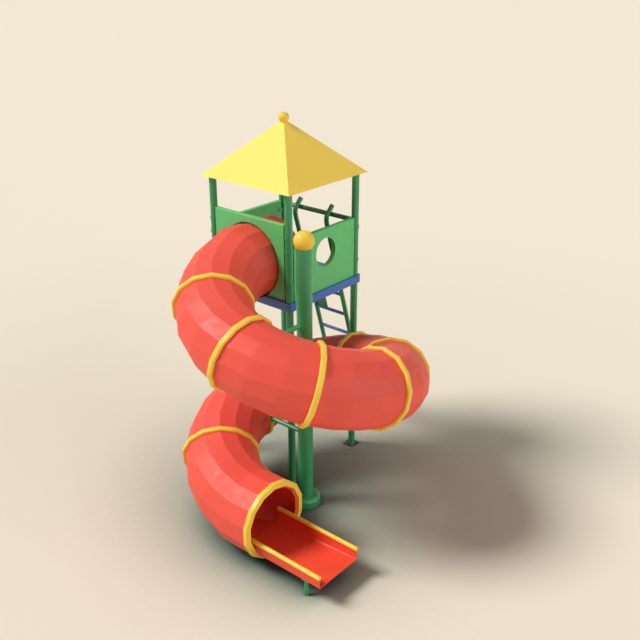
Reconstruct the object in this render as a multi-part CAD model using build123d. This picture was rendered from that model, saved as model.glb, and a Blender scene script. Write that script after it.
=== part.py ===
from build123d import *
import os
from math import cos, pi, radians, sin, sqrt

# Playground tower with a spiral tube slide. Millimetres, +Z up.
# The origin is the foot of the column that stands on the spiral's axis; +X is the way out of the slide.

# Clearances
FIT = 0.3
POST_GAP = 8.0

# Tower posts and their base plates
POST_SPACING = 1200.0
INLET_INSET = 591.0
TOWER_Y = 204.0
POST_RADIUS = 44.5
POST_WALL = 4.0
POST_CAP = 4.0
POST_CAP_PLUG = 20.0
PLATE_SIZE = 156.0
PLATE_THICKNESS = 10.0
PLATE_HOLE_SPACING = 116.0
PLATE_HOLE_RADIUS = 7.0

# Deck
DECK_TOP = 2454.0
DECK_DEPTH = 100.0
DECK_MARGIN = 60.0
DECK_CORNER = 30.0
DECK_SKIN = 5.0
JOIST_WIDTH = 40.0
JOIST_HEIGHT = 60.0
JOIST_WALL = 3.0
JOIST_OFFSETS = (150.0, 450.0)
COLLAR_WALL = 8.0
COLLAR_HEIGHT = 50.0

# Panels round the deck
PANEL_THICKNESS = 60.0
PANEL_CORNER = 6.0
TUBE_PANEL_HEIGHT = 923.0
SIDE_PANEL_HEIGHT = 745.0
TUBE_HOLE_GAP = 9.0
PORTHOLE_RADIUS = 176.0
PORTHOLE_HEIGHT = 456.0
PORTHOLE_ALONG = 612.0
CLAMP_WALL = 6.0
CLAMP_HEIGHT = 40.0
CLAMP_REACH = 120.0
TUBE_PANEL_CLAMPS = (120.0, 780.0)
SIDE_PANEL_CLAMPS = (200.0, 620.0)
BOLT_RADIUS = 5.0
BOLT_HEAD_RADIUS = 10.0
BOLT_HEAD = 5.0

# Rail over the ladder opening
ENTRY_RAIL_HEIGHT = 703.0
ENTRY_RAIL_RADIUS = 30.0
ENTRY_RAIL_WALL = 3.0

# Roof
EAVE_Z = 3751.0
APEX_Z = 4396.0
ROOF_MARGIN = 102.0
ROOF_SKIN = 12.0
ROOF_BEAM_WIDTH = 40.0
ROOF_BEAM_HEIGHT = 49.0
FINIAL_RADIUS = 65.0
FINIAL_RISE = 15.0
FINIAL_STEM = 8.0
FINIAL_STEM_LENGTH = 60.0

# Column on the spiral's axis
COLUMN_RADIUS = 89.0
COLUMN_WALL = 5.0
COLUMN_PLATE_RADIUS = 160.0
COLUMN_PLATE_THICKNESS = 16.0
COLUMN_HOLE_CIRCLE = 250.0
COLUMN_HOLE_COUNT = 4
COLUMN_HOLE_RADIUS = 9.0
COVER_RADIUS = 179.0
COVER_HEIGHT = 110.0
COVER_ROUND = 45.0
COVER_WALL = 5.0
COLUMN_BALL_RADIUS = 116.0
COLUMN_BALL_Z = 3340.0

# Tube: a level inlet, a downward spiral of one and a quarter turns, and a level outlet
HELIX_RADIUS = 996.0
INLET_Z = 2842.0
OUTLET_Z = 486.0
HELIX_START = 180.0
HELIX_TURN = 450.0
FACET_TURN = 15.0
BEND_TURN = 45.0
TUBE_SIDES = 14
TUBE_RADIUS = 428.0
TUBE_END_RADIUS = 448.0
TUBE_WALL = 10.0
INLET_REACH = 396.0
OUTLET_REACH = 403.0
OUTLET_RIM = 12.0
OUTLET_RIM_DEPTH = 80.0
INLET_FLANGE_RIM = 47.0
INLET_FLANGE_THICKNESS = 8.0
FLANGE_BOLT_RISE = 26.0
FLANGE_BOLT_COUNT = 6
FLANGE_BOLT_SPREAD = 150.0

# Rings round the tube's joints and its mouth
RING_RISE = 34.0
RING_WIDTH = 60.0
RING_EDGE = 8.0
MOUTH_RING_RISE = 8.0
MOUTH_RING_DEPTH = 62.0
MOUTH_RING_WIDTH = 60.0
MOUTH_RING_LIP = 30.0

# Arms from the column to four of the rings
ARM_RINGS = (2, 4, 6, 8)
ARM_RADIUS = 28.0
ARM_WALL = 4.0
ARM_PAD_THICKNESS = 8.0
ARM_PAD_WIDTH = 50.0
ARM_PAD_HEIGHT = 130.0

# Open chute at the mouth of the tube
CHUTE_SIDE_INSET = 136.0
CHUTE_WALL = 12.0
CHUTE_END_X = 1325.0
CHUTE_START_X = 190.0
CHUTE_TONGUE_X = -150.0
CHUTE_TONGUE_RISE = 68.0
CHUTE_MOUTH_RISE = 134.0
CHUTE_END_RISE = 188.0
CHUTE_INNER_CORNER = 85.0
CHUTE_END_CORNER = 16.0
CHUTE_RAIL_RADIUS = 25.0
CHUTE_RAIL_DROP = 126.0
CHUTE_LEG_RADIUS = 24.0
CHUTE_LEG_WALL = 4.0
CHUTE_LEG_X = 1106.0
CHUTE_LEG_INSET = 54.0
CHUTE_LEG_PAD = 6.0
CHUTE_LEG_PAD_SIZE = 80.0

# Ladder
LADDER_OFFSET = -31.0
LADDER_WIDTH = 517.0
LADDER_LEAN = 0.30
STILE_RADIUS = 30.0
STILE_WALL = 3.0
STILE_BEND = 200.0
HOOK_BEND = 80.0
HOOK_INSET = 96.0
HOOK_REACH = 112.0
RUNG_RADIUS = 22.0
RUNG_PITCH = 312.0
RUNG_COUNT = 8
FIRST_RUNG_Z = 132.0
GUSSET_WIDTH = 175.0
GUSSET_THICKNESS = 8.0

# Values that follow from the sizes above
TOWER_X = INLET_INSET - HELIX_RADIUS
TOWER_LEFT = TOWER_X - POST_SPACING
TOWER_BACK = TOWER_Y + POST_SPACING
TOWER_MID_X = TOWER_X - POST_SPACING / 2
TOWER_MID_Y = TOWER_Y + POST_SPACING / 2
LADDER_CENTRE = TOWER_MID_X + LADDER_OFFSET
DECK_SIDE = POST_SPACING + 2 * DECK_MARGIN
ROOF_HALF = POST_SPACING / 2 + ROOF_MARGIN
ROOF_SLOPE = (APEX_Z - EAVE_Z) / ROOF_HALF
ENTRY_RAIL_Z = DECK_TOP + ENTRY_RAIL_HEIGHT
TUBE_HOLE_RADIUS = TUBE_END_RADIUS + TUBE_HOLE_GAP
INLET_FLANGE_RADIUS = TUBE_END_RADIUS + INLET_FLANGE_RIM
FLANGE_BOLT_CIRCLE = TUBE_END_RADIUS + FLANGE_BOLT_RISE
RING_RADIUS = TUBE_RADIUS + RING_RISE
MOUTH_RING_RADIUS = TUBE_END_RADIUS + MOUTH_RING_RISE
DEGREE = HELIX_RADIUS * pi / 180
HELIX_END = HELIX_START + HELIX_TURN
INLET_START = HELIX_START - (TOWER_Y + INLET_REACH) / DEGREE
OUTLET_END = HELIX_END + OUTLET_REACH / DEGREE
FIRST_RING = HELIX_START + BEND_TURN
LAST_RING = HELIX_END - BEND_TURN
RING_COUNT = round((LAST_RING - FIRST_RING) / BEND_TURN) + 1
FLAT = cos(pi / TUBE_SIDES)
OUTLET_LOW_Z = OUTLET_Z - TUBE_END_RADIUS
CHUTE_Y = -HELIX_RADIUS
CHUTE_HALF_WIDTH = TUBE_END_RADIUS - CHUTE_SIDE_INSET
CHUTE_TONGUE_Z = OUTLET_LOW_Z + CHUTE_TONGUE_RISE
CHUTE_MOUTH_Z = OUTLET_LOW_Z + CHUTE_MOUTH_RISE
CHUTE_END_Z = OUTLET_LOW_Z + CHUTE_END_RISE
CHUTE_RAIL_Z = OUTLET_Z - CHUTE_RAIL_DROP
RAIL_OFFSET = CHUTE_HALF_WIDTH - CHUTE_WALL / 2

POSTS = {
    "front": (TOWER_X, TOWER_Y),
    "left": (TOWER_LEFT, TOWER_Y),
    "right": (TOWER_X, TOWER_BACK),
    "back": (TOWER_LEFT, TOWER_BACK),
}

os.makedirs("parts", exist_ok=True)


def save(node, *solids):
    """Writes one sub-part; identical pieces share a node as separate solids."""
    shape = solids[0] if len(solids) == 1 else Compound(children=list(solids))
    export_step(shape, f"parts/{node}.step")


def bar(radius, length):
    """Round bar standing on z = 0."""
    return extrude(Circle(radius), length)


def tube(radius, wall, length):
    """Round tube standing on z = 0."""
    return extrude(Circle(radius) - Circle(radius - wall), length)


def block(size_x, size_y, size_z):
    """Box centred on the origin in plan, standing on z = 0."""
    return Box(size_x, size_y, size_z, align=(Align.CENTER, Align.CENTER, Align.MIN))


# Path of the tube


def tube_point(turn):
    """Centre of the tube at an angle round the column; the level ends continue it in a straight line."""
    turned = min(max(turn, HELIX_START), HELIX_END)
    angle = radians(turned)
    z = INLET_Z - (INLET_Z - OUTLET_Z) * (turned - HELIX_START) / HELIX_TURN
    beyond = (turn - turned) * DEGREE
    x = HELIX_RADIUS * cos(angle) - beyond * sin(angle)
    y = HELIX_RADIUS * sin(angle) + beyond * cos(angle)
    return Vector(x, y, z)


def tube_plane(turn):
    """Cross-section plane: its normal runs down the tube, its local x points away from the column."""
    along = (tube_point(turn + 1) - tube_point(turn - 1)).normalized()
    return Plane(tube_point(turn), x_dir=(along.Y, -along.X, 0), z_dir=along)


def tube_radius(turn):
    """Corner radius of the tube's outside, flared from the first and last rings to the open ends."""
    if turn < FIRST_RING:
        flare = min((FIRST_RING - turn) / BEND_TURN, 1)
    elif turn > LAST_RING:
        flare = min((turn - LAST_RING) / BEND_TURN, 1)
    else:
        flare = 0
    return TUBE_RADIUS + (TUBE_END_RADIUS - TUBE_RADIUS) * flare


def polygon(radius):
    """Cross-section of the tube, with a corner at the top."""
    return RegularPolygon(radius, TUBE_SIDES, rotation=90)


def tube_stations(start, end):
    """Angles of the flat facets' edges between two cross-sections."""
    steps = {start, end, HELIX_START, HELIX_END}
    steps.update(HELIX_START + FACET_TURN * i for i in range(round(HELIX_TURN / FACET_TURN) + 1))
    return sorted(step for step in steps if start <= step <= end)


def tube_space(start, end, growth, overrun=0):
    """Solid that fills the tube between two cross-sections, grown outwards and lengthened at both ends."""
    planes = [(tube_plane(turn), tube_radius(turn)) for turn in tube_stations(start, end)]
    if overrun:
        planes.insert(0, (planes[0][0].offset(-overrun), planes[0][1]))
        planes.append((planes[-1][0].offset(overrun), planes[-1][1]))
    return loft([plane * polygon(radius + growth) for plane, radius in planes], ruled=True)


# Tower


def pyramid(drop):
    """Solid roof space with its faces lowered by a vertical distance."""
    half = ROOF_HALF - drop / ROOF_SLOPE
    base = Pos(TOWER_MID_X, TOWER_MID_Y, EAVE_Z) * Rectangle(2 * half, 2 * half)
    return loft([base.face(), Vertex(TOWER_MID_X, TOWER_MID_Y, APEX_Z - drop)])


def roof_under(distance_from_eave):
    """Height of the roof's underside at a distance in from the eave."""
    return EAVE_Z + ROOF_SLOPE * distance_from_eave - ROOF_SKIN


POST_TOP = roof_under(ROOF_MARGIN - POST_RADIUS) - POST_CAP - FIT


def make_posts():
    """Four round posts with flat caps, each on a square base plate with four holes."""
    plate = block(PLATE_SIZE, PLATE_SIZE, PLATE_THICKNESS)
    plate -= GridLocations(PLATE_HOLE_SPACING, PLATE_HOLE_SPACING, 2, 2) * bar(
        PLATE_HOLE_RADIUS, PLATE_THICKNESS
    )
    post = Pos(Z=PLATE_THICKNESS) * tube(POST_RADIUS, POST_WALL, POST_TOP - PLATE_THICKNESS)
    cap = Pos(Z=POST_TOP) * bar(POST_RADIUS, POST_CAP)
    cap += Pos(Z=POST_TOP - POST_CAP_PLUG) * bar(POST_RADIUS - POST_WALL - FIT, POST_CAP_PLUG)
    for name, (x, y) in POSTS.items():
        save(f"post_{name}", Pos(x, y) * post)
        save(f"post_base_{name}", Pos(x, y) * plate)
    save("post_caps", *[Pos(x, y) * cap for x, y in POSTS.values()])


def make_deck():
    """Pressed deck tray with a turned-down skirt, let down round the inlet of the tube."""
    floor = DECK_TOP - DECK_DEPTH
    inner_side = DECK_SIDE - 2 * DECK_SKIN
    hollow = extrude(
        RectangleRounded(inner_side, inner_side, DECK_CORNER - DECK_SKIN), DECK_DEPTH - DECK_SKIN
    )
    tray = extrude(RectangleRounded(DECK_SIDE, DECK_SIDE, DECK_CORNER), DECK_DEPTH)
    place = Pos(TOWER_MID_X, TOWER_MID_Y, floor)
    inlet_length = INLET_REACH + DECK_MARGIN
    inlet_place = Pos(-HELIX_RADIUS, TOWER_Y - DECK_MARGIN, INLET_Z) * Rot(X=-90)
    recess = inlet_place * bar(TUBE_HOLE_RADIUS, inlet_length + FIT)
    trough = inlet_place * bar(TUBE_HOLE_RADIUS + DECK_SKIN, inlet_length + FIT + DECK_SKIN)
    tray = place * tray - (place * hollow - trough) - recess
    for x, y in POSTS.values():
        tray -= Pos(x, y, floor) * bar(POST_RADIUS + FIT, DECK_DEPTH)
    save("deck_tray", tray)

    joist_box = block(inner_side, JOIST_WIDTH, JOIST_HEIGHT)
    joist_box -= Pos(Z=JOIST_WALL) * block(
        inner_side, JOIST_WIDTH - 2 * JOIST_WALL, JOIST_HEIGHT - 2 * JOIST_WALL
    )
    joist_z = DECK_TOP - DECK_SKIN - JOIST_HEIGHT
    joists = [Pos(TOWER_MID_X, TOWER_MID_Y + offset, joist_z) * joist_box for offset in JOIST_OFFSETS]
    save("deck_joists", *joists)

    collar = tube(POST_RADIUS + FIT + COLLAR_WALL, COLLAR_WALL, COLLAR_HEIGHT)
    collar_z = DECK_TOP - DECK_SKIN - COLLAR_HEIGHT
    save("deck_collars", *[Pos(x, y, collar_z) * collar for x, y in POSTS.values()])


def panel_blank(height):
    """Panel between two posts, along local x from the first post's centre, standing on local z = 0."""
    edge = POST_RADIUS + POST_GAP
    width = POST_SPACING - 2 * edge
    blank = Pos(X=POST_SPACING / 2) * block(width, PANEL_THICKNESS, height)
    return chamfer(blank.edges().filter_by(Axis.X).group_by(Axis.Z)[-1], PANEL_CORNER)


def clamp_bolt_place(height):
    """Axis of a clamp bolt, pointing from the panel's inner face to its outer face."""
    along = (POST_RADIUS + POST_GAP + CLAMP_REACH) / 2
    return Pos(along, PANEL_THICKNESS / 2, height) * Rot(X=90)


def panel_clamp(height):
    """Ring round a post with an ear that lies against the panel's inner face, at +y."""
    ring = tube(POST_RADIUS + FIT + CLAMP_WALL, CLAMP_WALL, CLAMP_HEIGHT)
    ear_y = PANEL_THICKNESS / 2 + CLAMP_WALL / 2
    ear = Pos(CLAMP_REACH / 2, ear_y) * block(CLAMP_REACH, CLAMP_WALL, CLAMP_HEIGHT)
    ear -= bar(POST_RADIUS + FIT, CLAMP_HEIGHT)
    clamp = Pos(Z=height - CLAMP_HEIGHT / 2) * (ring + ear)
    hole = clamp_bolt_place(height) * Pos(Z=-CLAMP_WALL) * bar(BOLT_RADIUS + FIT, CLAMP_WALL)
    return clamp - hole


def panel_bolt(height):
    """Bolt with a round head on both faces, through a clamp's ear and the panel."""
    length = PANEL_THICKNESS + CLAMP_WALL
    bolt = Pos(Z=-CLAMP_WALL) * bar(BOLT_RADIUS, length)
    bolt += Pos(Z=PANEL_THICKNESS) * bar(BOLT_HEAD_RADIUS, BOLT_HEAD)
    bolt += Pos(Z=-CLAMP_WALL - BOLT_HEAD) * bar(BOLT_HEAD_RADIUS, BOLT_HEAD)
    return clamp_bolt_place(height) * bolt


def both_ends(make_piece, heights):
    """Copies of a piece at the panel's first post, and mirrored at its second post."""
    pieces = []
    for height in heights:
        piece = make_piece(height)
        pieces.append(piece)
        pieces.append(Pos(X=POST_SPACING) * mirror(piece, Plane.YZ))
    return pieces


def bolt_holes(heights):
    """Bolt holes through a panel at both of its ends."""
    return both_ends(lambda z: clamp_bolt_place(z) * bar(BOLT_RADIUS + FIT, PANEL_THICKNESS), heights)


def make_panels():
    """Front panel round the tube, and two side panels with a porthole, with their clamps and bolts."""
    porthole = Pos(PORTHOLE_ALONG, PANEL_THICKNESS, PORTHOLE_HEIGHT) * Rot(X=90)
    porthole *= bar(PORTHOLE_RADIUS, 2 * PANEL_THICKNESS)
    hole_along = -HELIX_RADIUS - TOWER_LEFT
    tube_hole = Pos(hole_along, PANEL_THICKNESS, INLET_Z - DECK_TOP) * Rot(X=90)
    tube_hole *= bar(TUBE_HOLE_RADIUS, 2 * PANEL_THICKNESS)
    side_panel = panel_blank(SIDE_PANEL_HEIGHT) - porthole - bolt_holes(SIDE_PANEL_CLAMPS)
    tube_panel = panel_blank(TUBE_PANEL_HEIGHT) - tube_hole - bolt_holes(TUBE_PANEL_CLAMPS)
    for place in flange_bolt_places():
        tube_panel -= place * Pos(Z=-PANEL_THICKNESS) * bar(BOLT_RADIUS + FIT, PANEL_THICKNESS)

    front = Pos(TOWER_LEFT, TOWER_Y, DECK_TOP)
    right = Pos(TOWER_X, TOWER_Y, DECK_TOP) * Rot(Z=90)
    left = Pos(TOWER_LEFT, TOWER_BACK, DECK_TOP) * Rot(Z=-90)
    save("panel_tube", front * tube_panel)
    save("panel_right", right * side_panel)
    save("panel_left", left * mirror(side_panel, Plane.YZ.offset(POST_SPACING / 2)))

    clamps = [front * clamp for clamp in both_ends(panel_clamp, TUBE_PANEL_CLAMPS)]
    bolts = [front * bolt for bolt in both_ends(panel_bolt, TUBE_PANEL_CLAMPS)]
    for side in (right, left):
        clamps += [side * clamp for clamp in both_ends(panel_clamp, SIDE_PANEL_CLAMPS)]
        bolts += [side * bolt for bolt in both_ends(panel_bolt, SIDE_PANEL_CLAMPS)]
    save("panel_clamps", *clamps)
    save("panel_bolts", *bolts)


def flange_bolt_places():
    """Bolt axes round the inlet flange, in the front panel's frame, pointing into the tower."""
    places = []
    for i in range(FLANGE_BOLT_COUNT):
        angle = radians(90 - FLANGE_BOLT_SPREAD / 2 + FLANGE_BOLT_SPREAD * i / (FLANGE_BOLT_COUNT - 1))
        x = -HELIX_RADIUS - TOWER_LEFT + FLANGE_BOLT_CIRCLE * cos(angle)
        z = INLET_Z - DECK_TOP + FLANGE_BOLT_CIRCLE * sin(angle)
        places.append(Pos(x, PANEL_THICKNESS / 2, z) * Rot(X=-90))
    return places


def make_inlet_flange():
    """Flat arch on the inner face of the front panel that holds the inlet, with its bolts."""
    front = Pos(TOWER_LEFT, TOWER_Y, DECK_TOP)
    face_y = TOWER_Y + PANEL_THICKNESS / 2
    arch = Pos(-HELIX_RADIUS, face_y, INLET_Z) * Rot(X=-90) * bar(INLET_FLANGE_RADIUS, INLET_FLANGE_THICKNESS)
    arch -= tube_space(INLET_START, HELIX_START, FIT)
    arch = split(arch, Plane.XY.offset(DECK_TOP), keep=Keep.TOP)
    bolt = Pos(Z=-PANEL_THICKNESS) * bar(BOLT_RADIUS, PANEL_THICKNESS + INLET_FLANGE_THICKNESS)
    bolt += Pos(Z=-PANEL_THICKNESS - BOLT_HEAD) * bar(BOLT_HEAD_RADIUS, BOLT_HEAD)
    bolt += Pos(Z=INLET_FLANGE_THICKNESS) * bar(BOLT_HEAD_RADIUS, BOLT_HEAD)
    places = [front * place for place in flange_bolt_places()]
    for place in places:
        arch -= place * bar(BOLT_RADIUS + FIT, INLET_FLANGE_THICKNESS)
    save("inlet_flange", arch)
    save("inlet_flange_bolts", *[place * bolt for place in places])


def make_entry_rail():
    """Rail between the two back posts over the ladder opening, coped to the posts."""
    rail = Pos(TOWER_LEFT, TOWER_BACK, ENTRY_RAIL_Z) * Rot(Y=90)
    rail *= tube(ENTRY_RAIL_RADIUS, ENTRY_RAIL_WALL, POST_SPACING)
    for name in ("back", "right"):
        x, y = POSTS[name]
        rail -= Pos(x, y, ENTRY_RAIL_Z - POST_RADIUS) * bar(POST_RADIUS + FIT, 2 * POST_RADIUS)
    save("entry_rail", rail)


def make_roof():
    """Thin four-sided roof shell on four beams between the post heads, with a ball on its point."""
    apex = Pos(TOWER_MID_X, TOWER_MID_Y, APEX_Z)
    stem = Pos(Z=FINIAL_RISE - FINIAL_STEM_LENGTH - FINIAL_RADIUS) * bar(
        FINIAL_STEM, FINIAL_STEM_LENGTH + FINIAL_RADIUS
    )
    stem_hole = Pos(Z=-2 * FINIAL_RADIUS) * bar(FINIAL_STEM + FIT, 2 * FINIAL_RADIUS)
    shell = pyramid(0) - pyramid(ROOF_SKIN) - apex * stem_hole
    save("roof_shell", shell)

    finial = apex * (Pos(Z=FINIAL_RISE) * Sphere(FINIAL_RADIUS))
    finial = finial - pyramid(-FIT) + apex * stem
    save("roof_finial", finial)

    beam_z = roof_under(ROOF_MARGIN - ROOF_BEAM_WIDTH / 2) - ROOF_BEAM_HEIGHT
    beam = Pos(POST_SPACING / 2) * block(POST_SPACING, ROOF_BEAM_WIDTH, APEX_Z - EAVE_Z)
    under_roof = pyramid(ROOF_SKIN + FIT)
    beams = []
    for turn in range(4):
        place = Pos(TOWER_MID_X, TOWER_MID_Y, beam_z) * Rot(Z=90 * turn)
        beams.append(place * Pos(-POST_SPACING / 2, -POST_SPACING / 2) * beam & under_roof)
    heads = [Pos(x, y, EAVE_Z) * bar(POST_RADIUS + FIT, APEX_Z - EAVE_Z) for x, y in POSTS.values()]
    inside = Pos(TOWER_MID_X, TOWER_MID_Y, EAVE_Z) * block(
        POST_SPACING - ROOF_BEAM_WIDTH, POST_SPACING - ROOF_BEAM_WIDTH, APEX_Z - EAVE_Z
    )
    save("roof_beams", *[(beam - heads - inside).solid() for beam in beams])


# Column


def make_column():
    """Round column on a bolted base plate under a domed cover, topped by a ball."""
    plate = bar(COLUMN_PLATE_RADIUS, COLUMN_PLATE_THICKNESS)
    plate -= PolarLocations(COLUMN_HOLE_CIRCLE / 2, COLUMN_HOLE_COUNT, 45) * bar(
        COLUMN_HOLE_RADIUS, COLUMN_PLATE_THICKNESS
    )
    save("column_base", plate)

    ball_flat_z = COLUMN_BALL_Z - sqrt(COLUMN_BALL_RADIUS**2 - COLUMN_RADIUS**2)
    column = tube(COLUMN_RADIUS, COLUMN_WALL, ball_flat_z - COLUMN_PLATE_THICKNESS)
    save("column", Pos(Z=COLUMN_PLATE_THICKNESS) * column)

    cover = fillet(bar(COVER_RADIUS, COVER_HEIGHT).edges().group_by(Axis.Z)[-1], COVER_ROUND)
    inner_height = COVER_HEIGHT - COVER_WALL
    inner = bar(COVER_RADIUS - COVER_WALL, inner_height)
    cover -= fillet(inner.edges().group_by(Axis.Z)[-1], COVER_ROUND - COVER_WALL)
    cover -= bar(COLUMN_RADIUS + FIT, COVER_HEIGHT)
    save("column_cover", cover)

    ball = Pos(Z=COLUMN_BALL_Z) * Sphere(COLUMN_BALL_RADIUS)
    ball = split(ball, Plane.XY.offset(ball_flat_z), keep=Keep.TOP)
    ball += Pos(Z=ball_flat_z - POST_CAP_PLUG) * bar(COLUMN_RADIUS - COLUMN_WALL - FIT, POST_CAP_PLUG)
    save("column_ball", ball)


# Tube, rings and arms


def make_tube():
    """Ten moulded tube sections that meet face to face under the rings, the last with a rim turned in."""
    joints = [FIRST_RING + BEND_TURN * i for i in range(RING_COUNT)]
    edges = [INLET_START] + joints + [OUTLET_END]
    names = ["tube_inlet"] + [f"tube_bend_{i + 1}" for i in range(RING_COUNT - 1)] + ["tube_outlet"]
    for name, start, end in zip(names, edges, edges[1:]):
        section = tube_space(start, end, 0) - tube_space(start, end, -TUBE_WALL, TUBE_WALL)
        if end == OUTLET_END:
            rim = polygon(TUBE_END_RADIUS - TUBE_WALL / 2) - polygon(TUBE_END_RADIUS - OUTLET_RIM_DEPTH)
            section += extrude(tube_plane(end) * rim, -OUTLET_RIM) - channel(-FIT, 0)
        save(name, section)


def ring_blank(plane, radius, width):
    """Band with bevelled rims, centred on a cross-section plane."""
    half = width / 2
    rims = ((-half, -RING_EDGE), (RING_EDGE - half, 0), (half - RING_EDGE, 0), (half, -RING_EDGE))
    return loft([plane.offset(along) * polygon(radius + step) for along, step in rims], ruled=True)


def make_rings():
    """A ring round each joint, and the thick ring of the mouth that stands out in front of the tube."""
    for i in range(RING_COUNT):
        turn = FIRST_RING + BEND_TURN * i
        band = ring_blank(tube_plane(turn), RING_RADIUS, RING_WIDTH)
        band -= tube_space(turn - FACET_TURN, turn + FACET_TURN, FIT)
        save(f"tube_ring_{i + 1}", band)
    mouth = tube_plane(OUTLET_END)
    band = ring_blank(mouth.offset(MOUTH_RING_LIP - MOUTH_RING_WIDTH / 2), MOUTH_RING_RADIUS, MOUTH_RING_WIDTH)
    band -= tube_space(HELIX_END, OUTLET_END, FIT)
    bore = mouth.offset(-MOUTH_RING_LIP) * polygon(MOUTH_RING_RADIUS - MOUTH_RING_DEPTH)
    band -= extrude(bore, 3 * MOUTH_RING_LIP)
    save("mouth_ring", band - channel(-FIT, 0))


def make_arms():
    """Level arms from the column to the inner side of four rings, each with a pad on the ring's flat."""
    ring_flat = RING_RADIUS * FLAT + FIT
    for number, ring in enumerate(ARM_RINGS, start=1):
        station = tube_plane(FIRST_RING + BEND_TURN * (ring - 1)).location
        length = HELIX_RADIUS - ring_flat
        arm = station * Pos(X=-ring_flat) * Rot(Y=-90) * tube(ARM_RADIUS, ARM_WALL, length)
        arm -= Pos(Z=station.position.Z - 2 * ARM_RADIUS) * bar(COLUMN_RADIUS + FIT, 4 * ARM_RADIUS)
        arm = arm.solids().sort_by(SortBy.VOLUME)[-1]
        pad_x = -ring_flat - ARM_PAD_THICKNESS / 2
        arm += station * Pos(X=pad_x) * Box(ARM_PAD_THICKNESS, ARM_PAD_HEIGHT, ARM_PAD_WIDTH)
        save(f"support_arm_{number}", arm)


# Chute


def chute_floor(x):
    """Height of the channel's underside: gently rising to the end."""
    mouth_x = OUTLET_REACH
    rise = (CHUTE_END_Z - CHUTE_MOUTH_Z) / (CHUTE_END_X - mouth_x)
    return CHUTE_MOUTH_Z + rise * (x - mouth_x)


def chute_profile(x, corner, inset):
    """Upright cross-section of the channel with rounded bottom corners, shrunk by an inset."""
    bottom = chute_floor(x) + inset
    height = CHUTE_RAIL_Z - bottom
    width = 2 * (CHUTE_HALF_WIDTH - inset)
    plane = Plane((x, CHUTE_Y, bottom), x_dir=(0, 1, 0), z_dir=(1, 0, 0))
    outline = Rectangle(width, height, align=(Align.CENTER, Align.MIN))
    low_corners = outline.vertices().group_by(Axis.Y)[0]
    return plane * fillet(low_corners, max(corner - inset, 1))


def channel(inset, overrun):
    """Solid of the channel from inside the mouth to its end."""
    sections = [
        chute_profile(CHUTE_START_X - overrun, CHUTE_INNER_CORNER, inset),
        chute_profile(OUTLET_REACH, CHUTE_INNER_CORNER, inset),
        chute_profile(CHUTE_END_X + overrun, CHUTE_END_CORNER, inset),
    ]
    return loft(sections, ruled=True)


def make_chute():
    """Open channel whose floor runs back into the tube as a tongue, with two round rails and two legs."""
    shell = channel(0, 0) - channel(CHUTE_WALL, CHUTE_WALL)
    start_z = chute_floor(CHUTE_START_X)
    tongue_outline = Polyline(
        (CHUTE_TONGUE_X, CHUTE_TONGUE_Z),
        (CHUTE_START_X, start_z),
        (CHUTE_START_X, start_z + CHUTE_WALL),
        (CHUTE_TONGUE_X, CHUTE_TONGUE_Z + CHUTE_WALL),
        close=True,
    )
    tongue_face = Plane.XZ * make_face(tongue_outline)
    tongue = extrude(Pos(Y=CHUTE_Y - CHUTE_HALF_WIDTH) * tongue_face, -2 * CHUTE_HALF_WIDTH)
    inside = tube_space(LAST_RING, OUTLET_END, -TUBE_WALL - FIT, 2 * MOUTH_RING_LIP)
    outside = Pos(OUTLET_REACH + MOUTH_RING_LIP, CHUTE_Y) * Box(
        CHUTE_END_X, 4 * CHUTE_HALF_WIDTH, 4 * CHUTE_RAIL_Z, align=(Align.MIN, Align.CENTER, Align.CENTER)
    )
    chute = (shell & outside) + (shell & inside) + (tongue & inside)
    rails = []
    for side in (-1, 1):
        place = Pos(CHUTE_START_X, CHUTE_Y + side * RAIL_OFFSET, CHUTE_RAIL_Z) * Rot(Y=90)
        rails.append(place * bar(CHUTE_RAIL_RADIUS, CHUTE_END_X - CHUTE_START_X))
        chute -= place * bar(CHUTE_RAIL_RADIUS + FIT, CHUTE_END_X - CHUTE_START_X)
    save("chute", chute)
    save("chute_rail_near", rails[0])
    save("chute_rail_far", rails[1])

    above = Pos(Z=-FIT) * channel(0, 0)
    pad_z = chute_floor(CHUTE_LEG_X) - CHUTE_LEG_PAD
    pad = Pos(Z=pad_z) * block(CHUTE_LEG_PAD_SIZE, CHUTE_LEG_PAD_SIZE, 2 * CHUTE_LEG_PAD)
    leg = tube(CHUTE_LEG_RADIUS, CHUTE_LEG_WALL, pad_z) + pad
    for side, name in ((-1, "near"), (1, "far")):
        offset = side * (CHUTE_HALF_WIDTH - CHUTE_LEG_INSET)
        save(f"chute_leg_{name}", Pos(CHUTE_LEG_X, CHUTE_Y + offset) * leg - above)


# Ladder


def stile_y(z):
    """Depth of the leaning part of the ladder at a height."""
    foot = DECK_TOP * LADDER_LEAN
    lean = sqrt(1 + LADDER_LEAN**2)
    deck_edge = TOWER_BACK + DECK_MARGIN
    return deck_edge + STILE_RADIUS * lean + FIT + foot - LADDER_LEAN * z


def stile_path():
    """Leaning from the ground, upright past the entry rail, then hooked outwards over it."""
    hook_y = TOWER_BACK - HOOK_INSET
    bend_z = (stile_y(0) - hook_y) / LADDER_LEAN
    below = -2 * STILE_RADIUS
    return FilletPolyline(
        (0, stile_y(below), below),
        (0, hook_y, bend_z),
        (0, hook_y, ENTRY_RAIL_Z),
        (0, hook_y + HOOK_REACH, ENTRY_RAIL_Z + HOOK_REACH),
        radius=(STILE_BEND, HOOK_BEND),
    )


def pipe(path, radius):
    """Round bar along a path."""
    return sweep(Plane(path @ 0, z_dir=path % 0) * Circle(radius), path=path)


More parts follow.
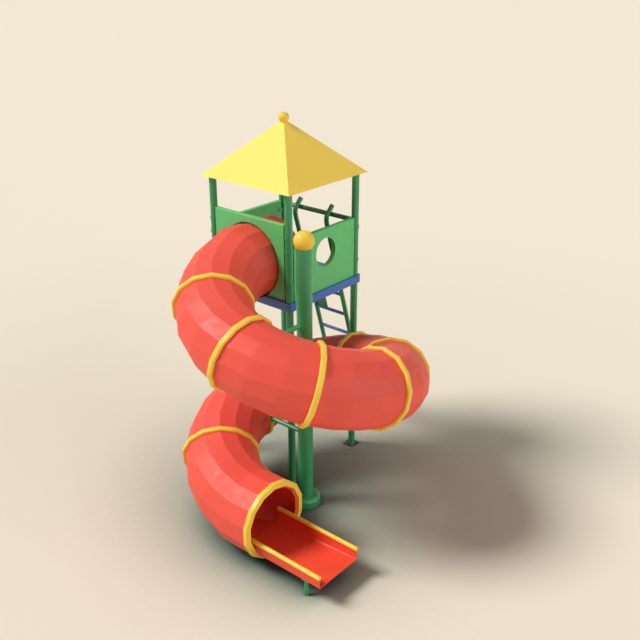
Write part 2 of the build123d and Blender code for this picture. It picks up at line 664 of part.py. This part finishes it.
def make_ladder():
    """Two hooked stiles, round rungs between them, and a gusset plate beside the left stile."""
    path = stile_path()
    ground = Pos(0, stile_y(0)) * Box(
        4 * STILE_RADIUS, 8 * STILE_RADIUS, 8 * STILE_RADIUS, align=(Align.CENTER, Align.CENTER, Align.MAX)
    )
    solid_stile = pipe(path, STILE_RADIUS) - ground
    bore = pipe(path, STILE_RADIUS - STILE_WALL) - Pos(path @ 1) * Sphere(2 * STILE_WALL + STILE_RADIUS)
    stile = solid_stile - bore
    half = LADDER_WIDTH / 2
    save("ladder_stile_left", Pos(X=LADDER_CENTRE - half) * stile)
    save("ladder_stile_right", Pos(X=LADDER_CENTRE + half) * stile)

    rungs = []
    for i in range(RUNG_COUNT):
        z = FIRST_RUNG_Z + RUNG_PITCH * i
        rung = Pos(LADDER_CENTRE - half, stile_y(z), z) * Rot(Y=90) * bar(RUNG_RADIUS, LADDER_WIDTH)
        for side in (-half, half):
            rung -= Pos(X=LADDER_CENTRE + side) * pipe(path, STILE_RADIUS + FIT)
        rungs.append(rung)
    save("ladder_rungs", *rungs)

    low_z = FIRST_RUNG_Z + RUNG_PITCH * (RUNG_COUNT - 3)
    high_z = low_z + RUNG_PITCH
    lean_plane = Plane(
        (LADDER_CENTRE - half, stile_y(low_z), low_z), x_dir=(1, 0, 0), z_dir=(0, -1, -LADDER_LEAN)
    )
    slope_pitch = RUNG_PITCH * sqrt(1 + LADDER_LEAN**2)
    width = STILE_RADIUS + FIT + GUSSET_WIDTH
    plate = Rectangle(width, slope_pitch, align=(Align.MIN, Align.MIN))
    plate -= Rectangle(STILE_RADIUS + FIT, slope_pitch, align=(Align.MIN, Align.MIN))
    gusset = extrude(lean_plane * plate, GUSSET_THICKNESS / 2, both=True)
    for z in (low_z, high_z):
        gusset -= Pos(LADDER_CENTRE - half, stile_y(z), z) * Rot(Y=90) * bar(RUNG_RADIUS + FIT, LADDER_WIDTH)
    save("ladder_gusset", gusset)


make_posts()
make_deck()
make_panels()
make_inlet_flange()
make_entry_rail()
make_roof()
make_column()
make_tube()
make_rings()
make_arms()
make_chute()
make_ladder()
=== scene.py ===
from math import cos, pi, radians, sin

import bmesh
import bpy
from mathutils import Matrix, Vector


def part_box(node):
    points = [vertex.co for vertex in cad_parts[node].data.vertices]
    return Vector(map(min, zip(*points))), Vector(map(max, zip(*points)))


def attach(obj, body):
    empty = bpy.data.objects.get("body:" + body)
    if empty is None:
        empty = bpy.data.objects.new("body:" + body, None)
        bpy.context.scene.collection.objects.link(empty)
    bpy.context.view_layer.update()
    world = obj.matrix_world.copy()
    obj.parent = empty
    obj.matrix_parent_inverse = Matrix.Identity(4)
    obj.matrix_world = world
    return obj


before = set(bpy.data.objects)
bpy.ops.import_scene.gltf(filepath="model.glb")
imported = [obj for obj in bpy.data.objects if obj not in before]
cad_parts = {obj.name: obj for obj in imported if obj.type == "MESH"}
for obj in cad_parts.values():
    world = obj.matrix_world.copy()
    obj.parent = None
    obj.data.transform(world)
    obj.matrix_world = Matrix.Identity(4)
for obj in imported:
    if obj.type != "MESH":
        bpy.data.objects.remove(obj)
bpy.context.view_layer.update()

# Sizes shared with the source, in metres and degrees
TOWER_X, TOWER_Y, POST_SPACING = -0.405, 0.204, 1.2
POST_RADIUS = 0.0445
PLATE_TOP = 0.010
PLATE_HOLE_SPACING = 0.116
INLET_Z, OUTLET_Z = 2.842, 0.486
HELIX_START, HELIX_TURN, BEND_TURN = 180.0, 450.0, 45.0
COLUMN_RADIUS, ARM_RADIUS = 0.089, 0.028
ARM_RINGS = (2, 4, 6, 8)
ENTRY_RAIL_RADIUS = 0.030
STILE_RADIUS, RUNG_RADIUS, RUNG_COUNT = 0.030, 0.022, 8

# Light
WORLD_LEVEL = 0.14
WORLD_COLOUR = (1.0, 0.99, 0.97)
SUN_LEVEL, SUN_COLOUR = 2.80, (1.0, 0.985, 0.96)
SUN_AZIMUTH, SUN_ELEVATION, SUN_SPREAD = 43.0, 47.5, 20.0
FILL_LEVEL, FILL_COLOUR = 1.55, (0.97, 0.985, 1.0)
FILL_AZIMUTH, FILL_ELEVATION, FILL_SPREAD = 190.0, 10.0, 70.0

# Camera
CAMERA_PLACE = (5.9165, -6.7163, 6.3666)
CAMERA_HEADING, CAMERA_PITCH = 130.2761, 23.8254
CAMERA_LENS, SENSOR_WIDTH = 49.455, 36.0
CLIP_NEAR, CLIP_FAR = 0.1, 1000.0

# Floor: its size, the distances over which the painted shade round the object gives way to its paler
# open colour, and from how near the object the painted shade under it reaches
FLOOR_RADIUS, FLOOR_SIDES = 220, 64
PAINTED_SHADE_NEAR, PAINTED_SHADE_FAR = 3.0, 11.0
PAINTED_SHADE_REACH, PAINTED_SHADE_SAMPLES = 3.5, 20
PAINTED_SHADE_CLOSED, PAINTED_SHADE_OPEN = 0.27, 0.90

# Colours
BACKGROUND = (0.887, 0.807, 0.665)
# Painted shade on the floor under the object, and the tint that takes the tube's red light out of that
# shade
PAINTED_SHADE_COLOUR = (0.080, 0.115, 0.092)
PAINTED_SHADE_TINT = (0.70, 0.96, 0.97)
RED = (0.88, 0.092, 0.060)
CHUTE_RED = (0.90, 0.075, 0.035)
SCRATCH_RED = (0.95, 0.32, 0.24)
YELLOW = (0.99, 0.66, 0.070)
ROOF_YELLOW = (1.00, 0.70, 0.105)
# Painted sunlight: the paler roof colour, used on the slopes that face the key lamp
ROOF_PAINTED_SUNLIT = (0.90, 0.80, 0.125)
GREEN = (0.034, 0.328, 0.122)
DARK_GREEN = (0.032, 0.270, 0.110)
PANEL_GREEN = (0.130, 0.580, 0.190)
BLUE = (0.050, 0.157, 0.535)
DARK_PAINT = (0.020, 0.017, 0.014)
BLACK = (0.020, 0.020, 0.020)
PLASTIC_DUST = (0.45, 0.38, 0.30)
STEEL_DUST = (0.36, 0.31, 0.24)
WORN_STEEL = (0.42, 0.46, 0.52)
ZINC_DULL, ZINC_BRIGHT = (0.24, 0.245, 0.25), (0.42, 0.42, 0.41)

# Most of a noise lies between these values
NOISE_LOW, NOISE_HIGH = 0.3, 0.7

# The sockets of the colour mix node
MIX_FACTOR, MIX_A, MIX_B, MIX_RESULT = 0, 6, 7, 2


# Places and directions


def direction(azimuth, elevation):
    """Unit vector that points that way, from angles in degrees."""
    a, e = radians(azimuth), radians(elevation)
    return Vector((cos(a) * cos(e), sin(a) * cos(e), sin(e)))


def aim(obj, look):
    """Turns a lamp or the camera to look that way, upright."""
    obj.rotation_euler = look.to_track_quat("-Z", "Y").to_euler()


def add_object(name, data):
    obj = bpy.data.objects.new(name, data)
    bpy.context.scene.collection.objects.link(obj)
    return obj


UP = Vector((0, 0, 1))
SUN_TRAVEL = direction(SUN_AZIMUTH, -SUN_ELEVATION)
FILL_TRAVEL = direction(FILL_AZIMUTH, -FILL_ELEVATION)
POST_PLACES = [
    (x, y) for y in (TOWER_Y, TOWER_Y + POST_SPACING) for x in (TOWER_X, TOWER_X - POST_SPACING)
]


# Node trees


class Nodes:
    """Small helper for writing the node tree of a material or a world."""

    def __init__(self, owner, output="ShaderNodeOutputMaterial"):
        self.owner = owner
        owner.use_nodes = True
        self.tree = owner.node_tree
        self.tree.nodes.clear()
        self.output = self.add(output)

    def add(self, kind, links=None, **values):
        node = self.tree.nodes.new(kind)
        for key, value in values.items():
            setattr(node, key, value)
        for socket, source in (links or {}).items():
            self.set(node, socket, source)
        return node

    def set(self, node, socket, source):
        target = node.inputs[socket]
        if isinstance(source, bpy.types.NodeSocket):
            self.tree.links.new(source, target)
        else:
            target.default_value = source

    def close(self, shader):
        """Joins the shader to the output and returns the material or world."""
        self.set(self.output, "Surface", shader.outputs[0])
        return self.owner

    def coords(self):
        return self.add("ShaderNodeTexCoord").outputs["Object"]

    def normal(self):
        return self.add("ShaderNodeNewGeometry").outputs["Normal"]

    def height_of(self, vector):
        """The upward part of a vector."""
        return self.add("ShaderNodeSeparateXYZ", {"Vector": vector}).outputs["Z"]

    def noise(self, coords, scale, detail=3.0, roughness=0.55):
        node = self.add("ShaderNodeTexNoise", {
            "Vector": coords, "Scale": scale, "Detail": detail, "Roughness": roughness,
        })
        return node.outputs["Fac"]

    def remap(self, value, low, high, to_low=0.0, to_high=1.0):
        node = self.add("ShaderNodeMapRange", {
            "Value": value, "From Min": low, "From Max": high, "To Min": to_low, "To Max": to_high,
        })
        return node.outputs["Result"]

    def spread(self, noise, to_low=0.0, to_high=1.0):
        """Stretches a noise over the whole of a range."""
        return self.remap(noise, NOISE_LOW, NOISE_HIGH, to_low, to_high)

    def mix(self, factor, a, b, mode="MIX"):
        node = self.add("ShaderNodeMix", data_type="RGBA", blend_type=mode)
        self.set(node, MIX_FACTOR, factor)
        self.set(node, MIX_A, a)
        self.set(node, MIX_B, b)
        return node.outputs[MIX_RESULT]

    def math(self, kind, a, b):
        return self.add("ShaderNodeMath", {0: a, 1: b}, operation=kind).outputs[0]


def shade(colour, factor=1.0):
    """The colour, darker or lighter, with its alpha."""
    return tuple(min(1.0, c * factor) for c in colour) + (1.0,)


# What several materials share


def finish_material(n, base, roughness, height, bump, distance, **surface):
    """Principled surface with the bump that the height gives."""
    relief = n.add("ShaderNodeBump", {"Strength": bump, "Distance": distance, "Height": height})
    shader = n.add("ShaderNodeBsdfPrincipled", {
        "Base Color": base, "Roughness": roughness, "Normal": relief.outputs["Normal"],
    })
    for socket, value in surface.items():
        n.set(shader, socket.replace("_", " "), value)
    return n.close(shader)


def drifting(n, tone, colour, drift):
    """The colour, drifting from a darker to a lighter shade with the tone."""
    return n.mix(tone, shade(colour, 1 - drift), shade(colour, 1 + drift))


def flecked(n, coords, base, colour, scale, amount):
    """The base with small dark flecks."""
    fleck = n.noise(coords, scale, detail=3.0, roughness=0.6)
    return n.mix(n.remap(fleck, 0.62, 0.8, 0.0, amount), base, shade(colour, 0.8))


def dust_share(n, coords, top, amount):
    """Dust that grows from nothing at the top height to the amount at the floor."""
    return n.remap(n.height_of(coords), top, 0.0, 0.0, amount)


def moulded_surface(n, coords, gloss):
    """Roughness and height of rotational moulding: slow waviness under a fine orange peel."""
    roughness = n.spread(n.noise(coords, 9.0, detail=4.0, roughness=0.65), gloss - 0.06, gloss + 0.10)
    peel = n.noise(coords, 170.0, detail=2.0, roughness=0.5)
    wave = n.noise(coords, 6.0, detail=2.0, roughness=0.4)
    return roughness, n.math("ADD", n.math("MULTIPLY", peel, 0.18), wave)


# Materials


def moulded_plastic(name, colour, gloss, grain=0.12):
    """Rotationally moulded plastic with a faint mottling of the colour and dust near the ground."""
    n = Nodes(bpy.data.materials.new(name))
    coords = n.coords()
    tone = n.spread(n.noise(coords, 2.2, detail=4.0, roughness=0.6))
    base = drifting(n, tone, colour, drift=0.05)
    base = flecked(n, coords, base, colour, scale=55.0, amount=0.10)
    dust = n.math("MULTIPLY", dust_share(n, coords, top=0.45, amount=0.18), tone)
    base = n.mix(dust, base, shade(PLASTIC_DUST))
    roughness, height = moulded_surface(n, coords, gloss)
    return finish_material(
        n, base, roughness, height, bump=grain, distance=0.012, Specular_IOR_Level=0.45
    )


def sunlit_painted_plastic(name, colour, pale, gloss=0.48):
    """Roof plastic with painted sunlight: the slopes that face the key lamp are painted in the paler
    colour.
    """
    n = Nodes(bpy.data.materials.new(name))
    coords = n.coords()
    # Painted light: the more a slope faces the key lamp, the more of the paler colour it gets
    facing = n.add("ShaderNodeVectorMath", {0: n.normal(), 1: -SUN_TRAVEL}, operation="DOT_PRODUCT")
    painted_sunlight = n.remap(facing.outputs["Value"], 0.45, 0.85)
    base = n.mix(painted_sunlight, shade(colour), shade(pale))
    cloud = n.noise(coords, 1.8, detail=4.0, roughness=0.6)
    base = n.mix(n.remap(cloud, 0.35, 0.7, 0.0, 0.10), base, shade(colour, 0.86))
    base = flecked(n, coords, base, colour, scale=40.0, amount=0.08)
    roughness, height = moulded_surface(n, coords, gloss)
    return finish_material(
        n, base, roughness, height, bump=0.10, distance=0.012, Specular_IOR_Level=0.40
    )


def coated_steel(name, colour, gloss=0.34, coat=0.25):
    """Powder coat on steel: orange peel, slight cloudiness, dust near the ground and rubbed patches."""
    n = Nodes(bpy.data.materials.new(name))
    coords = n.coords()
    cloud = n.noise(coords, 3.5, detail=4.0, roughness=0.6)
    base = drifting(n, n.spread(cloud), colour, drift=0.08)
    rub = n.remap(n.noise(coords, 14.0, detail=6.0, roughness=0.7), 0.60, 0.75, 0.0, 0.22)
    base = n.mix(rub, base, shade(colour, 1.35))
    dust = n.math("MULTIPLY", dust_share(n, coords, top=0.30, amount=0.10), cloud)
    base = n.mix(dust, base, shade(STEEL_DUST))
    roughness = n.spread(n.noise(coords, 20.0, detail=4.0, roughness=0.6), gloss - 0.06, gloss + 0.12)
    peel = n.noise(coords, 320.0, detail=2.0, roughness=0.5)
    return finish_material(
        n, base, roughness, peel, bump=0.22, distance=0.0012,
        Coat_Weight=coat, Coat_Roughness=0.22, Specular_IOR_Level=0.5,
    )


def deck_steel(name, colour):
    """Coated deck plate with rows of small raised studs on the surface that is walked on."""
    n = Nodes(bpy.data.materials.new(name))
    coords = n.coords()
    tone = n.spread(n.noise(coords, 4.0, detail=4.0, roughness=0.6))
    base = drifting(n, tone, colour, drift=0.07)
    walked = n.remap(n.height_of(n.normal()), 0.9, 0.98)
    studs = n.add("ShaderNodeTexVoronoi", {"Vector": coords, "Scale": 24.0, "Randomness": 0.0})
    stud = n.math("MULTIPLY", n.remap(studs.outputs["Distance"], 0.20, 0.32, 1.0, 0.0), walked)
    worn = n.math("MULTIPLY", stud, n.remap(n.noise(coords, 2.5), 0.4, 0.65, 0.1, 0.5))
    base = n.mix(worn, base, shade(WORN_STEEL))
    roughness = n.spread(n.noise(coords, 15.0, detail=4.0), 0.32, 0.52)
    peel = n.noise(coords, 300.0, detail=2.0)
    height = n.math("ADD", stud, n.math("MULTIPLY", peel, 0.08))
    return finish_material(
        n, base, roughness, height, bump=0.5, distance=0.003, Specular_IOR_Level=0.5
    )


def slid_plastic(name, colour):
    """The chute's plastic: polished and lightly scratched lengthwise where children slide."""
    n = Nodes(bpy.data.materials.new(name))
    coords = n.coords()
    stretched = n.add("ShaderNodeMapping", {"Vector": coords, "Scale": (1.5, 90.0, 20.0)})
    scratch = n.noise(stretched.outputs["Vector"], 3.0, detail=5.0, roughness=0.7)
    tone = n.spread(n.noise(coords, 2.5, detail=4.0, roughness=0.6))
    base = drifting(n, tone, colour, drift=0.06)
    base = n.mix(n.remap(scratch, 0.58, 0.72, 0.0, 0.16), base, shade(SCRATCH_RED))
    roughness = n.spread(scratch, 0.30, 0.50)
    return finish_material(
        n, base, roughness, scratch, bump=0.10, distance=0.002, Specular_IOR_Level=0.45
    )


def plated_steel(name):
    """Zinc-plated fasteners, dulled by the weather, with a faintly uneven bloom."""
    n = Nodes(bpy.data.materials.new(name))
    bloom = n.noise(n.coords(), 60.0, detail=5.0, roughness=0.65)
    base = n.mix(n.spread(bloom), shade(ZINC_DULL), shade(ZINC_BRIGHT))
    roughness = n.spread(bloom, 0.30, 0.50)
    return finish_material(n, base, roughness, bloom, bump=0.15, distance=0.0008, Metallic=1.0)


red = moulded_plastic("red_moulded_plastic", RED, gloss=0.52, grain=0.06)
yellow = moulded_plastic("yellow_moulded_plastic", YELLOW, gloss=0.40)
roof_yellow = sunlit_painted_plastic("roof_plastic", ROOF_YELLOW, ROOF_PAINTED_SUNLIT)
panel_green = moulded_plastic("panel_plastic", PANEL_GREEN, gloss=0.50)
green = coated_steel("green_powder_coat", GREEN)
ladder_green = coated_steel("ladder_powder_coat", DARK_GREEN)
dark = coated_steel("dark_base_paint", DARK_PAINT, gloss=0.55, coat=0.0)
black = moulded_plastic("black_plastic", BLACK, gloss=0.5)
blue = deck_steel("deck_powder_coat", BLUE)
rung_blue = coated_steel("rung_powder_coat", BLUE)
chute_red = slid_plastic("chute_plastic", CHUTE_RED)
zinc = plated_steel("zinc_plate")
bolt_green = coated_steel("painted_bolt_heads", PANEL_GREEN)

# The finish of each node, by the longest of these beginnings that its name has
FINISH = {
    "post_base": dark, "post_caps": black, "post": green, "deck_tray": blue, "deck_joists": rung_blue,
    "deck_collars": green, "panel_clamps": green, "panel_bolts": bolt_green, "panel": panel_green,
    "inlet_flange_bolts": bolt_green, "inlet_flange": panel_green, "entry_rail": ladder_green,
    "roof_shell": roof_yellow, "roof_finial": yellow, "roof_beams": green, "column_base": green,
    "column_cover": green, "column_ball": yellow, "column": green, "tube_ring": yellow,
    "mouth_ring": yellow, "tube": red, "support_arm": green, "chute_rail": yellow,
    "chute_leg": green, "chute": chute_red, "ladder_rungs": rung_blue, "ladder": ladder_green,
}

# How far the edges are rounded on the pieces that have crisp ones, in metres
ROUNDED = {
    "panel_tube": 0.006, "panel_right": 0.006, "panel_left": 0.006, "deck_tray": 0.003,
    "mouth_ring": 0.003, "tube_ring": 0.004, "post_base": 0.002, "post_caps": 0.0012,
    "inlet_flange": 0.002, "chute_leg": 0.001, "panel_clamps": 0.002, "roof_beams": 0.002,
    "deck_joists": 0.002, "column_base": 0.002, "ladder_gusset": 0.002,
    "tube_inlet": 0.004, "tube_bend": 0.004, "tube_outlet": 0.004,
}
TUBE_SECTIONS = ("tube_inlet", "tube_bend", "tube_outlet")
CRISP_ANGLE, FACET_ANGLE = 35.0, 19.0
WELD_DISTANCE, FLAT_ANGLE = 0.00005, 1.0
BEVEL_SEGMENTS, NORMAL_WEIGHT = 2, 60


def longest_key(table, name):
    """The longest key that the name begins with, or None."""
    return max((key for key in table if name.startswith(key)), key=len, default=None)


def round_edges(node, width, angle, flat):
    """Bevels the edges sharper than the angle; flat pieces first get whole faces again."""
    weld = node.modifiers.new("weld", "WELD")
    weld.merge_threshold = WELD_DISTANCE
    if flat:
        faces = node.modifiers.new("whole_faces", "DECIMATE")
        faces.decimate_type = "DISSOLVE"
        faces.angle_limit = radians(FLAT_ANGLE)
    bevel = node.modifiers.new("bevel", "BEVEL")
    bevel.width = width
    bevel.segments = BEVEL_SEGMENTS
    bevel.limit_method = "ANGLE"
    bevel.angle_limit = radians(angle)
    bevel.use_clamp_overlap = True
    weighted = node.modifiers.new("normals", "WEIGHTED_NORMAL")
    weighted.keep_sharp = False
    weighted.weight = NORMAL_WEIGHT


for node_name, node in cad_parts.items():
    node.data.materials.clear()
    node.data.materials.append(FINISH[longest_key(FINISH, node_name)])
    edge_key = longest_key(ROUNDED, node_name)
    if edge_key:
        edge_angle = FACET_ANGLE if edge_key in TUBE_SECTIONS else CRISP_ANGLE
        round_edges(node, ROUNDED[edge_key], edge_angle, edge_key.startswith("panel"))


# Small pieces: anchor nuts and weld beads

# Sides and outline, as pairs of radius and height, of an anchor's washer, nut and domed stud end
ANCHOR_PARTS = (
    (24, ((0.0125, 0.0), (0.0130, 0.0006), (0.0130, 0.0020), (0.0122, 0.0026))),
    (6, ((0.0100, 0.0026), (0.0112, 0.0036), (0.0112, 0.0116), (0.0098, 0.0128))),
    (16, ((0.0058, 0.0120), (0.0058, 0.0190), (0.0045, 0.0208), (0.0020, 0.0214))),
)
NUT_TWIST = 0.6

# Weld beads: radius and number of ripples at each kind of joint
FOOT_BEAD, FOOT_RIPPLES = 0.004, 34
ARM_BEAD, ARM_RIPPLES = 0.004, 28
LADDER_BEAD, RUNG_RIPPLES, RAIL_RIPPLES = 0.003, 24, 32
BEAD_SIDES, RIPPLE_STEPS, RIPPLE_SHARE = 6, 3, 0.16


def new_piece(name, bm, material, smooth=True):
    """Makes a piece of the object from the mesh that was built."""
    mesh = bpy.data.meshes.new(name)
    bm.to_mesh(mesh)
    bm.free()
    for face in mesh.polygons:
        face.use_smooth = smooth
    mesh.materials.append(material)
    piece = add_object(name, mesh)
    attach(piece, "root")


def lathe(bm, outline, sides, place):
    """Turns an outline round local Z and closes both ends."""
    rings = []
    for radius, height in outline:
        ring = []
        for i in range(sides):
            angle = 2 * pi * i / sides
            ring.append(bm.verts.new(place @ Vector((radius * cos(angle), radius * sin(angle), height))))
        rings.append(ring)
    for low, high in zip(rings[:-1], rings[1:]):
        for i in range(sides):
            j = (i + 1) % sides
            bm.faces.new((low[i], low[j], high[j], high[i]))
    bm.faces.new(list(reversed(rings[0])))
    bm.faces.new(rings[-1])


def weld_bead(bm, start, along, main_axis, branch, size, ripples, main=None):
    """Rippled bead where a round branch, which starts on the axis of a thicker tube, comes out of it.

    main is the thicker tube's radius, or None where the branch stands on a flat plate.
    """
    along = along.normalized()
    across = main_axis.cross(along).normalized()
    upright = along.cross(across)
    count = ripples * RIPPLE_STEPS
    rings = []
    for i in range(count):
        angle = 2 * pi * i / count
        out = across * cos(angle) + upright * sin(angle)
        depth = (main * main - (branch * cos(angle)) ** 2) ** 0.5 if main else 0.0
        centre = start + out * branch + along * depth
        swell = size * (1 + RIPPLE_SHARE * sin(ripples * angle))
        ring = []
        for k in range(BEAD_SIDES):
            around = 2 * pi * k / BEAD_SIDES
            ring.append(bm.verts.new(centre + (out * cos(around) + along * sin(around)) * swell))
        rings.append(ring)
    for a, b in zip(rings, rings[1:] + rings[:1]):
        for k in range(BEAD_SIDES):
            m = (k + 1) % BEAD_SIDES
            bm.faces.new((a[k], b[k], b[m], a[m]))


anchors = bmesh.new()
foot_beads = bmesh.new()
for post_x, post_y in POST_PLACES:
    foot = Vector((post_x, post_y, PLATE_TOP))
    weld_bead(foot_beads, foot, UP, Vector((0, 1, 0)), POST_RADIUS, FOOT_BEAD, FOOT_RIPPLES)
    for side_x in (-1, 1):
        for side_y in (-1, 1):
            at = foot + Vector((side_x, side_y, 0)) * PLATE_HOLE_SPACING / 2
            twist = Matrix.Rotation(NUT_TWIST * (side_x + 2 * side_y + post_x), 4, "Z")
            for sides, outline in ANCHOR_PARTS:
                lathe(anchors, outline, sides, Matrix.Translation(at) @ twist)
new_piece("anchor_nuts", anchors, zinc, smooth=False)
new_piece("post_weld_beads", foot_beads, green)

arm_beads = bmesh.new()
for ring_number in ARM_RINGS:
    turned = BEND_TURN * ring_number
    at = Vector((0, 0, INLET_Z - (INLET_Z - OUTLET_Z) * turned / HELIX_TURN))
    outward = direction(HELIX_START + turned, 0)
    weld_bead(arm_beads, at, outward, UP, ARM_RADIUS, ARM_BEAD, ARM_RIPPLES, COLUMN_RADIUS)
new_piece("arm_weld_beads", arm_beads, green)

rung_low, rung_high = (Vector(corner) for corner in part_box("ladder_rungs"))
first_rung = Vector((0, rung_high.y - RUNG_RADIUS, rung_low.z + RUNG_RADIUS))
last_rung = Vector((0, rung_low.y + RUNG_RADIUS, rung_high.z - RUNG_RADIUS))
ladder_beads = bmesh.new()
for stile, inward in (("ladder_stile_left", 1), ("ladder_stile_right", -1)):
    stile_low, stile_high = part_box(stile)
    for i in range(RUNG_COUNT):
        at = first_rung.lerp(last_rung, i / (RUNG_COUNT - 1))
        at.x = (stile_low[0] + stile_high[0]) / 2
        weld_bead(
            ladder_beads, at, Vector((inward, 0, 0)), last_rung - first_rung,
            RUNG_RADIUS, LADDER_BEAD, RUNG_RIPPLES, STILE_RADIUS,
        )
rail_low, rail_high = (Vector(corner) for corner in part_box("entry_rail"))
for post_x, inward in ((TOWER_X - POST_SPACING, 1), (TOWER_X, -1)):
    at = (rail_low + rail_high) / 2
    at.x = post_x
    weld_bead(
        ladder_beads, at, Vector((inward, 0, 0)), UP,
        ENTRY_RAIL_RADIUS, LADDER_BEAD, RAIL_RIPPLES, POST_RADIUS,
    )
new_piece("ladder_weld_beads", ladder_beads, ladder_green)


# Floor

floor_mesh = bpy.data.meshes.new("floor")
floor_bm = bmesh.new()
rim = []
for i in range(FLOOR_SIDES):
    angle = 2 * pi * i / FLOOR_SIDES
    rim.append(floor_bm.verts.new((FLOOR_RADIUS * cos(angle), FLOOR_RADIUS * sin(angle), 0)))
floor_bm.faces.new(rim)
floor_bm.to_mesh(floor_mesh)
floor_bm.free()
floor = add_object("floor", floor_mesh)

# Painted shade: its colour is paler far away, and darker and less red where the object stands over it;
# the less red tint paints out the red light that the tube throws into that shade
n = Nodes(bpy.data.materials.new("floor"))
contact = n.add("ShaderNodeAmbientOcclusion", {"Distance": PAINTED_SHADE_REACH}, samples=PAINTED_SHADE_SAMPLES)
unshaded_share = n.remap(contact.outputs["AO"], PAINTED_SHADE_CLOSED, PAINTED_SHADE_OPEN)
distance = n.add("ShaderNodeVectorMath", {0: n.coords()}, operation="LENGTH").outputs["Value"]
# Painted shade: the open floor is darker near the object and grows paler away from it
far_share = n.remap(distance, PAINTED_SHADE_NEAR, PAINTED_SHADE_FAR)
open_floor = n.mix(far_share, shade(BACKGROUND, 1.03), shade(BACKGROUND, 1.11))
# Painted shade under the object: the shade colour, then a tint that takes out the tube's red light
floor_colour = n.mix(unshaded_share, shade(PAINTED_SHADE_COLOUR), open_floor)
painted_shade_share = n.remap(unshaded_share, 0.0, 1.0, 1.0, 0.0)
floor_colour = n.mix(painted_shade_share, floor_colour, shade(PAINTED_SHADE_TINT), "MULTIPLY")
floor_mesh.materials.append(n.close(n.add("ShaderNodeBsdfDiffuse", {"Color": floor_colour})))


# World: dim light on the object, and the background colour for camera, gloss and transmission rays

n = Nodes(bpy.data.worlds.new("studio"), "ShaderNodeOutputWorld")
light = n.add("ShaderNodeBackground", {"Color": shade(WORLD_COLOUR), "Strength": WORLD_LEVEL})
seen = n.add("ShaderNodeBackground", {"Color": shade(BACKGROUND), "Strength": 1.0})
rays = n.add("ShaderNodeLightPath").outputs
is_seen = n.math("MAXIMUM", rays["Is Camera Ray"], rays["Is Glossy Ray"])
is_seen = n.math("MAXIMUM", is_seen, rays["Is Transmission Ray"])
blend = n.add("ShaderNodeMixShader", {0: is_seen, 1: light.outputs[0], 2: seen.outputs[0]})
bpy.context.scene.world = n.close(blend)


# Lamps and camera


def sun(name, travel, level, spread, colour):
    """Sun lamp whose light travels that way."""
    data = bpy.data.lights.new(name, "SUN")
    data.energy = level
    data.angle = radians(spread)
    data.color = colour
    aim(add_object(name, data), travel)


sun("key", SUN_TRAVEL, SUN_LEVEL, SUN_SPREAD, SUN_COLOUR)
sun("fill", FILL_TRAVEL, FILL_LEVEL, FILL_SPREAD, FILL_COLOUR)

camera_data = bpy.data.cameras.new("camera")
camera_data.sensor_fit = "HORIZONTAL"
camera_data.sensor_width = SENSOR_WIDTH
camera_data.lens = CAMERA_LENS
camera_data.clip_start = CLIP_NEAR
camera_data.clip_end = CLIP_FAR
camera = add_object("camera", camera_data)
camera.location = CAMERA_PLACE
aim(camera, direction(CAMERA_HEADING, -CAMERA_PITCH))
bpy.context.scene.camera = camera
bpy.context.scene.view_settings.view_transform = "Standard"
